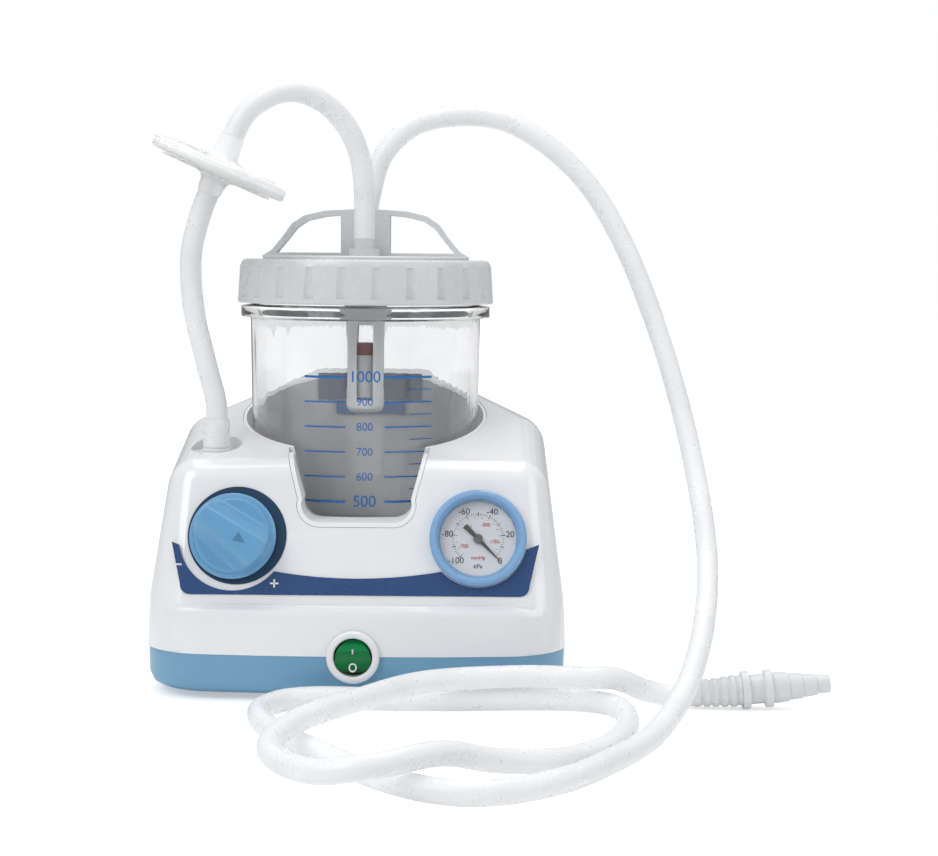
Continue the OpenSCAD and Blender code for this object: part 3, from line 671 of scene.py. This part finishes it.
def build_round_tree():
    """Copies of one shape, turned step by step about local Z."""
    inputs = [("Count", "NodeSocketInt"), ("Start", "NodeSocketFloat"), ("Step", "NodeSocketFloat"),
              ("Finish", "NodeSocketMaterial")]
    tree, inside, outside = new_tree("copies_round_axis", inputs)
    line = tree.nodes.new("GeometryNodeMeshLine")
    line.inputs["Offset"].default_value = (0, 0, 0)
    tree.links.new(inside.outputs["Count"], line.inputs["Count"])
    index = tree.nodes.new("GeometryNodeInputIndex").outputs[0]
    angle = maths(tree, "MULTIPLY_ADD", index, inside.outputs["Step"], inside.outputs["Start"])
    euler = tree.nodes.new("ShaderNodeCombineXYZ")
    tree.links.new(angle, euler.inputs["Z"])
    turn = tree.nodes.new("FunctionNodeEulerToRotation")
    tree.links.new(euler.outputs[0], turn.inputs[0])
    copies = tree.nodes.new("GeometryNodeInstanceOnPoints")
    tree.links.new(line.outputs[0], copies.inputs["Points"])
    tree.links.new(inside.outputs["Geometry"], copies.inputs["Instance"])
    tree.links.new(turn.outputs[0], copies.inputs["Rotation"])
    close_tree(tree, inside, outside, copies.outputs[0])
    return tree


def build_row_tree():
    """Copies of one shape in a straight row."""
    inputs = [("Count", "NodeSocketInt"), ("Spacing", "NodeSocketVector"), ("Finish", "NodeSocketMaterial")]
    tree, inside, outside = new_tree("copies_in_row", inputs)
    line = tree.nodes.new("GeometryNodeMeshLine")
    tree.links.new(inside.outputs["Count"], line.inputs["Count"])
    tree.links.new(inside.outputs["Spacing"], line.inputs["Offset"])
    copies = tree.nodes.new("GeometryNodeInstanceOnPoints")
    tree.links.new(line.outputs[0], copies.inputs["Points"])
    tree.links.new(inside.outputs["Geometry"], copies.inputs["Instance"])
    close_tree(tree, inside, outside, copies.outputs[0])
    return tree


ROUND = build_round_tree()
ROW = build_row_tree()


def repeated(name, tile, tree, place, material, body, slot, **values):
    """Runs a node tree on a tile and keeps the result as a plain mesh."""
    seed = bpy.data.objects.new(name + "_tile", tile)
    bpy.context.scene.collection.objects.link(seed)
    grow = seed.modifiers.new("repeat", "NODES")
    grow.node_group = tree
    ids = {s.name: s.identifier for s in tree.interface.items_tree if s.in_out == "INPUT"}
    grow[ids["Finish"]] = material
    for label, value in values.items():
        grow[ids[label]] = value
    bpy.context.view_layer.update()
    grown = seed.evaluated_get(bpy.context.evaluated_depsgraph_get())
    mesh = bpy.data.meshes.new_from_object(grown)
    bpy.data.objects.remove(seed)
    mesh.name = name
    mesh.transform(place)
    return piece(name, mesh, body, material)


def block(name, size, centre, bevel=0.0):
    """A small box tile with rounded edges, given by its size and centre."""
    work = bmesh.new()
    bmesh.ops.create_cube(work, size=1.0)
    work.transform(Matrix.Translation(centre) @ Matrix.Diagonal((*size, 1.0)))
    if bevel:
        bmesh.ops.bevel(work, geom=work.edges[:], offset=bevel, segments=2, profile=0.5, affect="EDGES")
    soften(work, 40)
    return mesh_from(name, work)


# ---- print ----


def letters(words, height, thick=0.00006):
    """Flat lettering as a mesh, centred on the origin in local XY."""
    curve = bpy.data.curves.new("print", "FONT")
    curve.body = words
    curve.size = height * 1.4
    curve.align_x = "CENTER"
    curve.align_y = "CENTER"
    curve.extrude = thick
    curve.resolution_u = 6
    writer = bpy.data.objects.new("print", curve)
    bpy.context.scene.collection.objects.link(writer)
    bpy.context.view_layer.update()
    mesh = bpy.data.meshes.new_from_object(writer.evaluated_get(bpy.context.evaluated_depsgraph_get()))
    bpy.data.objects.remove(writer)
    work = bmesh.new()
    work.from_mesh(mesh)
    return work


def join(parts, place=None):
    """One mesh from several bmesh parts."""
    whole = bmesh.new()
    for part in parts:
        held = bpy.data.meshes.new("held")
        part.to_mesh(held)
        part.free()
        whole.from_mesh(held)
        bpy.data.meshes.remove(held)
    if place is not None:
        whole.transform(place)
    return whole


def rolled(work, radius):
    """Wraps a flat print (local X across, Y up) round the jar, facing the front."""
    for vert in work.verts:
        across, up, out = vert.co
        angle = across / radius
        reach = radius + out
        vert.co = Vector((reach * math.sin(angle), -reach * math.cos(angle), up))
    return work


def bar(x0, x1, y, height, cuts=8, thick=0.00006):
    """A printed line, cut along its length so that it can be rolled."""
    work = bmesh.new()
    for i in range(cuts):
        a = x0 + (x1 - x0) * i / cuts
        b = x0 + (x1 - x0) * (i + 1) / cuts
        bottom = [work.verts.new((x, v, -thick)) for x, v in
                  ((a, y - height / 2), (b, y - height / 2), (b, y + height / 2), (a, y + height / 2))]
        top = [work.verts.new((v.co.x, v.co.y, thick)) for v in bottom]
        work.faces.new(top)
        work.faces.new(bottom[::-1])
        for k in range(4):
            n = (k + 1) % 4
            work.faces.new((bottom[k], bottom[n], top[n], top[k]))
    return work


def jar_scale():
    """Graduations from 500 to 1000, with half-way marks on the right."""
    radius = JAR_R + PRINT_RISE
    parts = []
    for step in range(6):
        height = (86.5 + 11.7 * step) * MM
        thick = (1.1 if step in (0, 5) else 0.7) * MM
        parts.append(bar(-27 * MM, -6.5 * MM, height, thick))
        parts.append(bar(12 * MM, 36 * MM, height, thick))
        number = letters(str(500 + 100 * step), (5.4 if step in (0, 5) else 3.8) * MM, 0.00008)
        number.transform(Matrix.Translation((2.6 * MM, height, 0)))
        parts.append(number)
        if step < 5:
            parts.append(bar(24 * MM, 36 * MM, height + 5.85 * MM, 0.45 * MM))
    work = rolled(join(parts), radius)
    piece("jar_graduations", mesh_from("jar_graduations", work), "jar", INK_BLUE)


def rear_panels():
    """Plain tinted blocks on the back of the jar: the wide slate block is a light-blue part's colour
    darkened by painted shade, the small blue block is printed.
    """
    # painted shade: the slate tone is a light-blue part as it looks in shade behind the jar
    slate = print_ink("slate_painted_shade", (0.13, 0.19, 0.30))
    for name, ink, half, low, high in (("jar_rear_panel_wide", slate, 28, 127, 141),
                                       ("jar_rear_panel_small", INK_BLUE, 18, 119.5, 126)):
        strip = bar(-half * MM, half * MM, (low + high) / 2 * MM, (high - low) * MM, 16)
        work = rolled(strip, JAR_R + PRINT_RISE)
        work.transform(Matrix.Rotation(math.pi, 4, "Z"))
        piece(name, mesh_from(name, work), "jar", ink)


GAUGE_ZERO = -45.0
GAUGE_SWEEP = 270.0
FULL_KPA = 100.0
KPA_PER_MMHG = 0.1333


def dial_angle(kpa):
    return math.radians(GAUGE_ZERO + GAUGE_SWEEP * kpa / FULL_KPA)


def dial_words(values, radius, height):
    parts = []
    for words, kpa in values:
        work = letters(words, height)
        angle = dial_angle(kpa)
        work.transform(Matrix.Translation((radius * math.cos(angle), radius * math.sin(angle), 0)))
        parts.append(work)
    return parts


def gauge_print():
    """Two scales, ticks and unit words on the gauge's dial."""
    place = panel_place(DIAL_X, 0, -1.30 * MM)
    outer = dial_words([("0" if v == 0 else "-%d" % v, v) for v in range(0, 101, 20)], 14.2 * MM, 2.9 * MM)
    unit = letters("kPa", 2.0 * MM)
    unit.transform(Matrix.Translation((0, -12.6 * MM, 0)))
    black = mesh_from("gauge_numbers", join(outer + [unit], place))
    piece("gauge_numbers", black, "housing", INK_BLACK)
    inner = dial_words([("-%d" % v, v * KPA_PER_MMHG) for v in range(100, 701, 200)], 7.4 * MM, 1.8 * MM)
    other = letters("mmHg", 1.7 * MM)
    other.transform(Matrix.Translation((0, -8.6 * MM, 0)))
    red = mesh_from("gauge_inner_numbers", join(inner + [other], place))
    piece("gauge_inner_numbers", red, "housing", INK_RED)
    for name, inside, length, width, count, ink in (
            ("gauge_fine_ticks", 11.0, 1.0, 0.16, 51, INK_BLACK),
            ("gauge_main_ticks", 10.6, 1.8, 0.34, 11, INK_BLACK),
            ("gauge_red_ticks", 9.5, 0.9, 0.20, 16, INK_RED)):
        sweep = math.radians(GAUGE_SWEEP)
        tile = block(name, (length * MM, width * MM, 0.08 * MM), ((inside + length / 2) * MM, 0, 0))
        repeated(name, tile, ROUND, place, ink, "housing", "dial_white", Count=count,
                 Start=math.radians(GAUGE_ZERO), Step=sweep / (count - 1))


def rocker_marks():
    """I above O, on the curved face of the rocker."""
    stroke = bar(-0.35 * MM, 0.35 * MM, 3.9 * MM, 2.6 * MM, 1)
    ring = lathe([(1.25 * MM, -0.06 * MM), (1.85 * MM, -0.06 * MM), (1.85 * MM, 0.06 * MM),
                  (1.25 * MM, 0.06 * MM)], Matrix.Translation((0, -3.6 * MM, 0)), 40)
    work = join([stroke, ring])
    for vert in work.verts:
        depth = ROCKER_HOLLOW - math.sqrt(ROCKER_SWEEP ** 2 - vert.co.y ** 2)
        vert.co.z += depth + 0.08 * MM
    turn = Matrix.Rotation(math.pi / 2, 4, "X")
    pivot = Matrix.Translation((0, 0, -5 * MM)) @ Matrix.Rotation(ROCKER_REST, 4, "X")
    work.transform(Matrix.Translation(SWITCH_AT) @ turn @ pivot)
    piece("rocker_marks", mesh_from("rocker_marks", work), "rocker", INK_WHITE)


def control_marks():
    """Minus and plus beside the knob."""
    minus = bar(-1.4 * MM, 1.4 * MM, 0, 0.8 * MM, 1)
    minus.transform(Matrix.Translation((-80.4 * MM, -13.0 * MM, 0)))
    plus = [bar(-1.9 * MM, 1.9 * MM, 0, 0.8 * MM, 1), bar(-0.4 * MM, 0.4 * MM, 0, 3.8 * MM, 1)]
    for arm in plus:
        arm.transform(Matrix.Translation((-36.6 * MM, -21.4 * MM, 0)))
    work = join([minus] + plus, panel_place(0, 0, 0.62 * MM))
    piece("control_marks", mesh_from("control_marks", work), "housing", INK_WHITE)


# ---- pieces ----


def knob_top(along, across):
    """Height of the knob's face: a ridge with a smooth scoop on each side, wider at its pointed end."""
    edge = (3.6 + 0.10 * along / MM) * MM
    share = min(1.0, max(0.0, (abs(across) - edge) / SCOOP_RUN))
    return KNOB_FACE - SCOOP_DEPTH * share * share * (3 - 2 * share)


def knob_rings():
    """Radius, how much of the scooped height it follows, and drop below it, from the middle out."""
    for step in range(1, 29):
        yield KNOB_FACE_R * step / 28, 1.0, 0.0
    for step in range(1, 6):
        turn = math.radians(18 * step)
        yield KNOB_FACE_R + KNOB_ROUND * math.sin(turn), 1.0, KNOB_ROUND * (1 - math.cos(turn))
    skirt = [(18.5, 3.8), (18.9, 3.45), (19.5, 3.35), (19.75, 3.1), (19.8, 1.5), (19.5, 1.2)]
    for radius, height in skirt:
        yield radius * MM, 0.0, -height * MM


def sculpted_knob():
    """The knob with its thumb ridge, and a darker blue pointer triangle on the ridge whose colour is
    painted shade for an engraved mark.
    """
    turns = 160
    place = panel_place(-DIAL_X)
    work = bmesh.new()
    rings = []
    for radius, follow, drop in knob_rings():
        ring = []
        for step in range(turns):
            angle = 2 * math.pi * step / turns
            along = radius * math.cos(angle - KNOB_LEAN)
            across = radius * math.sin(angle - KNOB_LEAN)
            height = follow * knob_top(along, across) - drop
            ring.append(work.verts.new((radius * math.cos(angle), radius * math.sin(angle), height)))
        rings.append(ring)
    middle = work.verts.new((0, 0, knob_top(0, 0)))
    under = work.verts.new((0, 0, KNOB_UNDER))
    for step in range(turns):
        after = (step + 1) % turns
        work.faces.new((middle, rings[0][step], rings[0][after]))
        work.faces.new((under, rings[-1][after], rings[-1][step]))
        for inner, outer in zip(rings, rings[1:]):
            work.faces.new((inner[step], outer[step], outer[after], inner[after]))
    work.transform(place)
    soften(work, 40)
    shown = piece("vacuum_knob", mesh_from("vacuum_knob", work), "knob", FINISH["knob_blue"])
    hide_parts("knob")
    mark = bmesh.new()
    tips = [(8.6, 0), (3.2, 2.5), (3.2, -2.5)]
    low = [mark.verts.new((x * MM, y * MM, 13.7 * MM)) for x, y in tips]
    high = [mark.verts.new((x * MM, y * MM, 14.06 * MM)) for x, y in tips]
    mark.faces.new(high)
    mark.faces.new(low[::-1])
    for step in range(3):
        after = (step + 1) % 3
        mark.faces.new((low[step], low[after], high[after], high[step]))
    mark.transform(place @ Matrix.Rotation(KNOB_LEAN, 4, "Z"))
    # painted shade: the darker blue triangle stands for the shade inside an engraved pointer
    shade = print_ink("knob_pointer_painted_shade", (0.075, 0.215, 0.40))
    piece("knob_pointer", mesh_from("knob_pointer", mark), "knob", shade)


def housing():
    dressed("base_shell", "base_moulding", FINISH["base_blue"], 1.0 * MM, 28, 3)
    dressed("upper_shell", "cover_moulding", FINISH["cover_white"], 1.2 * MM, 24, 3)
    dressed("jar_well", "well_liner", FINISH["well_grey"], 0.8 * MM, 30, 2)
    dressed("front_decal", "panel_film", FINISH["decal_navy"], 0.12 * MM)
    dressed("knob_scale", "knob_crescent", crescent_teal(), 0.12 * MM)
    dressed("feet", "rubber_feet", FINISH["foot_rubber"], 0.3 * MM)
    dressed("switch_ring", "switch_bezel", FINISH["ring_white"], 0.25 * MM)
    dressed("rocker", "switch_rocker", FINISH["rocker_green"], 0.35 * MM)
    sculpted_knob()
    dressed("gauge_bezel", "gauge_rim", FINISH["bezel_blue"], 0.2 * MM)
    dressed("inlet_spigot", "filter_spigot", FINISH["ring_white"], 0.2 * MM)
    dressed("mains_inlet", "mains_socket", FINISH["black_plastic"], 0.4 * MM)
    dressed("fuse_drawer", "fuse_holder", FINISH["black_plastic"], 0.3 * MM)


def jar_set():
    dressed("jar", "jar_body", FINISH["jar_clear"], 0.0, 40)
    dressed("lid_ring", "screw_ring", FINISH["lid_grey"], 0.45 * MM)
    dressed("lid_disc", "lid_and_handle", FINISH["lid_grey"], 0.8 * MM, 30, 3)
    dressed("float_cage", "valve_cage", FINISH["lid_grey"], 0.3 * MM)
    bob = dressed("float_body", "float_bob", FINISH["float_grey"], 0.3 * MM)
    bob.data.materials.append(FINISH["valve_red"])
    for face in bob.data.polygons:
        face.material_index = int(face.center.z > FLOAT_DISC_Z)
    dressed("tube_cuff", "ribbed_cuff", FINISH["connector_white"], 0.25 * MM, 30, 2)
    dressed("cone_connector", "stepped_cone", FINISH["connector_white"], 0.3 * MM, 30, 2)
    outline = [(5.05 * MM, -2.4 * MM), (5.45 * MM, -2 * MM), (5.5 * MM, 0.3 * MM), (5.05 * MM, 0.3 * MM)]
    collar = lathe(outline, tip_place(), 64)
    piece("cuff_collar", mesh_from("cuff_collar", collar), "jar", FINISH["connector_white"])
    dressed("tube_foot", "hose_foot", FINISH["silicone"], 0.3 * MM)


def filter_ribs():
    """Radial ribs moulded on both faces of the disc filter."""
    for side, name in ((1, "filter_ribs_top"), (-1, "filter_ribs_bottom")):
        tile = block(name, (15 * MM, 0.8 * MM, 0.9 * MM), (19.5 * MM, 0, side * 3.9 * MM), 0.2 * MM)
        repeated(name, tile, ROUND, filter_place(), FINISH["filter_clear"], "jar", "filter_clear",
                 Count=24, Start=0.0, Step=math.radians(15))
    dressed("filter_upper", "filter_shell_top", FINISH["filter_clear"], 0.2 * MM)
    dressed("filter_lower", "filter_shell_bottom", FINISH["filter_clear"], 0.2 * MM)


def vent_fins():
    """Thin upright fins behind the bars between the rear slots."""
    tile = block("vent_fins", (0.9 * MM, 1.6 * MM, 33 * MM), (0, 0, 0), 0.2 * MM)
    repeated("vent_fins", tile, ROW, Matrix.Translation((-58 * MM, 97.4 * MM, 70 * MM)),
             FINISH["cover_white"], "housing", "cover_white", Count=6, Spacing=(8 * MM, 0, 0))


def remaining_nodes():
    """Every CAD node that still shows takes its slot's finish."""
    for name, node in NODES.items():
        node.data.materials.clear()
        node.data.materials.append(FINISH[slot_of(name)])


# ---- floor and light ----


def seen_directly(tree):
    """1 for what the camera sees itself, most of that through clear parts, 0 for light and gloss."""
    ray = tree.nodes.new("ShaderNodeLightPath")
    through = maths(tree, "MULTIPLY", ray.outputs["Is Transmission Ray"], SEEN_THROUGH)
    return maths(tree, "MAXIMUM", ray.outputs["Is Camera Ray"], through)


def studio():
    """Pale floor that brightens away from the object, the world, and three soft lamps."""
    work = bmesh.new()
    bmesh.ops.create_grid(work, x_segments=1, y_segments=1, size=FLOOR_SIZE)
    floor = bpy.data.objects.new("studio_floor", mesh_from("studio_floor", work))
    bpy.context.scene.collection.objects.link(floor)
    material, tree, shader = new_material("studio_floor")
    where = tree.nodes.new("ShaderNodeTexCoord").outputs["Object"]
    near_colour = blend_colour(tree, noise(tree, where, 2.0), (0.88, 0.88, 0.88), (0.92, 0.92, 0.92))
    shader.inputs["Roughness"].default_value = 0.30
    reach = tree.nodes.new("ShaderNodeVectorMath")
    reach.operation = "LENGTH"
    tree.links.new(where, reach.inputs[0])
    glow = spread(tree, reach.outputs["Value"], GLOW_STARTS, GLOW_IS_FULL)
    tree.links.new(blend_colour(tree, glow, near_colour, (0.28, 0.28, 0.28)),
                   shader.inputs["Base Color"])
    glow_colour = blend_colour(tree, glow, (0.42, 0.42, 0.42), (1.0, 1.0, 1.0))
    tree.links.new(glow_colour, shader.inputs["Emission Color"])
    shader.inputs["Emission Strength"].default_value = FLOOR_LIGHT
    shown = tree.nodes.new("ShaderNodeEmission")
    tree.links.new(glow_colour, shown.inputs["Color"])
    tree.links.new(maths(tree, "MULTIPLY", seen_directly(tree), 1 - FLOOR_LIGHT), shown.inputs["Strength"])
    both = tree.nodes.new("ShaderNodeAddShader")
    tree.links.new(shader.outputs[0], both.inputs[0])
    tree.links.new(shown.outputs[0], both.inputs[1])
    tree.links.new(both.outputs[0], tree.nodes["Material Output"].inputs["Surface"])
    floor.data.materials.append(material)
    studio_world()
    softbox("key_softbox", (-1.0, -1.0, 1.2), 0.8, 10.5)
    softbox("fill_softbox", (1.3, -0.7, 0.7), 0.7, 3.8)
    softbox("top_softbox", (0.0, 0.25, 1.4), 1.0, 9.5)
    bpy.context.scene.view_settings.view_transform = "Standard"


def studio_world():
    """White backdrop, with a darker band at eye level that gives white and clear parts their edges."""
    world = bpy.data.worlds.new("studio_world")
    bpy.context.scene.world = world
    world.use_nodes = True
    tree = world.node_tree
    light = tree.nodes["Background"]
    light.inputs["Color"].default_value = (1.0, 1.0, 1.0, 1.0)
    facing = tree.nodes.new("ShaderNodeTexCoord").outputs["Generated"]
    split = tree.nodes.new("ShaderNodeSeparateXYZ")
    tree.links.new(facing, split.inputs[0])
    rise = spread(tree, split.outputs["Z"], -0.05, 0.75, 0.34, 0.62)
    tree.links.new(rise, light.inputs["Strength"])
    backdrop = tree.nodes.new("ShaderNodeBackground")
    backdrop.inputs["Color"].default_value = (1.0, 1.0, 1.0, 1.0)
    either = tree.nodes.new("ShaderNodeMixShader")
    tree.links.new(seen_directly(tree), either.inputs[0])
    tree.links.new(light.outputs[0], either.inputs[1])
    tree.links.new(backdrop.outputs[0], either.inputs[2])
    tree.links.new(either.outputs[0], tree.nodes["World Output"].inputs["Surface"])


def softbox(name, at, size, power):
    data = bpy.data.lights.new(name, "AREA")
    data.shape = "RECTANGLE"
    data.size = size
    data.size_y = size * 1.4
    data.energy = power
    lamp = bpy.data.objects.new(name, data)
    bpy.context.scene.collection.objects.link(lamp)
    aim = Vector((0, 0, 0.12)) - Vector(at)
    lamp.matrix_world = Matrix.Translation(at) @ aim.to_track_quat("-Z", "Y").to_matrix().to_4x4()


# ---- the whole scene ----

make_camera()
jar_set()
filter_ribs()
lay_hose("patient_hose", PATIENT_ROUTE, "patient_tube", FINISH["silicone"])
lay_hose("filter_hose_upper", UPPER_ROUTE, "filter_tube_upper", FINISH["silicone"])
lay_hose("filter_hose_lower", LOWER_ROUTE, "filter_tube_lower", FINISH["silicone"])
housing()
vent_fins()
jar_scale()
rear_panels()
gauge_print()
control_marks()
rocker_marks()
remaining_nodes()
studio()
